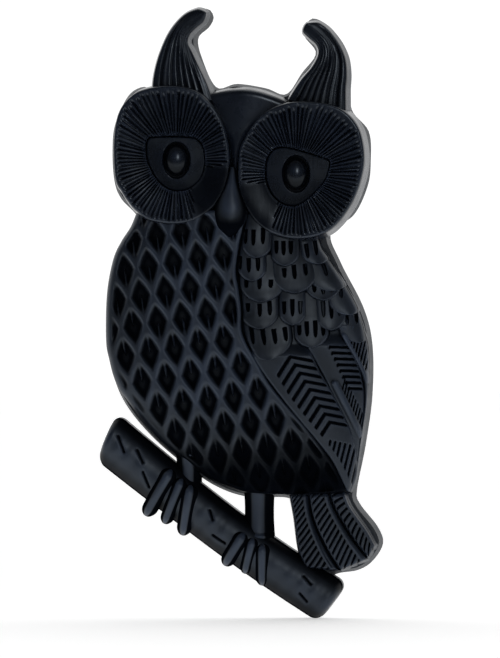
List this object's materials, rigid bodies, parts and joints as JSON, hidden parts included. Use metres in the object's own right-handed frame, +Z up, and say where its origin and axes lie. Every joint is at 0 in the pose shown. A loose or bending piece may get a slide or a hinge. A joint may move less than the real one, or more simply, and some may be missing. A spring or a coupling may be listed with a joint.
{
  "type": "wall-hung carved owl figurine",
  "caption": "Flat-backed carved wooden owl relief in dark satin lacquer, perched on a slanting branch, built from fitted pieces on a body board.",
  "frame": {"origin": "on the flat back, at the middle of the pictured height and width", "axes": "+Z up, the carving faces -Y, +Y points out of the flat back, +X to the viewer's right"},
  "size_m": [0.1128, 0.023, 0.2439],
  "materials": {
    "carved_wood": "blue-black satin lacquer over close-grained wood",
    "pupil_lacquer": "blue-black lacquer, a little glossier than the rest",
    "board_wood": "stained dark, flat back left matt",
    "dowel_wood": "bare beech, hidden inside the legs"
  },
  "bodies": {
    "root": {"beak": "carved_wood", "body_board": "board_wood", "branch": "carved_wood", "breast": "carved_wood", "covert_a1": "carved_wood", "covert_a2": "carved_wood", "covert_a3": "carved_wood", "covert_a4": "carved_wood", "covert_a5": "carved_wood", "covert_b1": "carved_wood", "covert_b2": "carved_wood", "covert_b3": "carved_wood", "covert_b4": "carved_wood", "covert_b5": "carved_wood", "covert_b6": "carved_wood", "covert_c1": "carved_wood", "covert_c2": "carved_wood", "covert_c3": "carved_wood", "covert_c4": "carved_wood", "crown": "carved_wood", "ear_tuft_left": "carved_wood", "ear_tuft_right": "carved_wood", "eye_disc_left": "carved_wood", "eye_disc_right": "carved_wood", "iris_left": "carved_wood", "iris_right": "carved_wood", "leg_dowel_left": "dowel_wood", "leg_dowel_right": "dowel_wood", "leg_left": "carved_wood", "leg_right": "carved_wood", "primary_1": "carved_wood", "primary_2": "carved_wood", "primary_3": "carved_wood", "pupil_left": "pupil_lacquer", "pupil_right": "pupil_lacquer", "tail_feather_1": "carved_wood", "tail_feather_2": "carved_wood", "tail_feather_3": "carved_wood", "toe_left_1": "carved_wood", "toe_left_2": "carved_wood", "toe_left_3": "carved_wood", "toe_right_1": "carved_wood", "toe_right_2": "carved_wood", "toe_right_3": "carved_wood"}
  },
  "joints": []
}
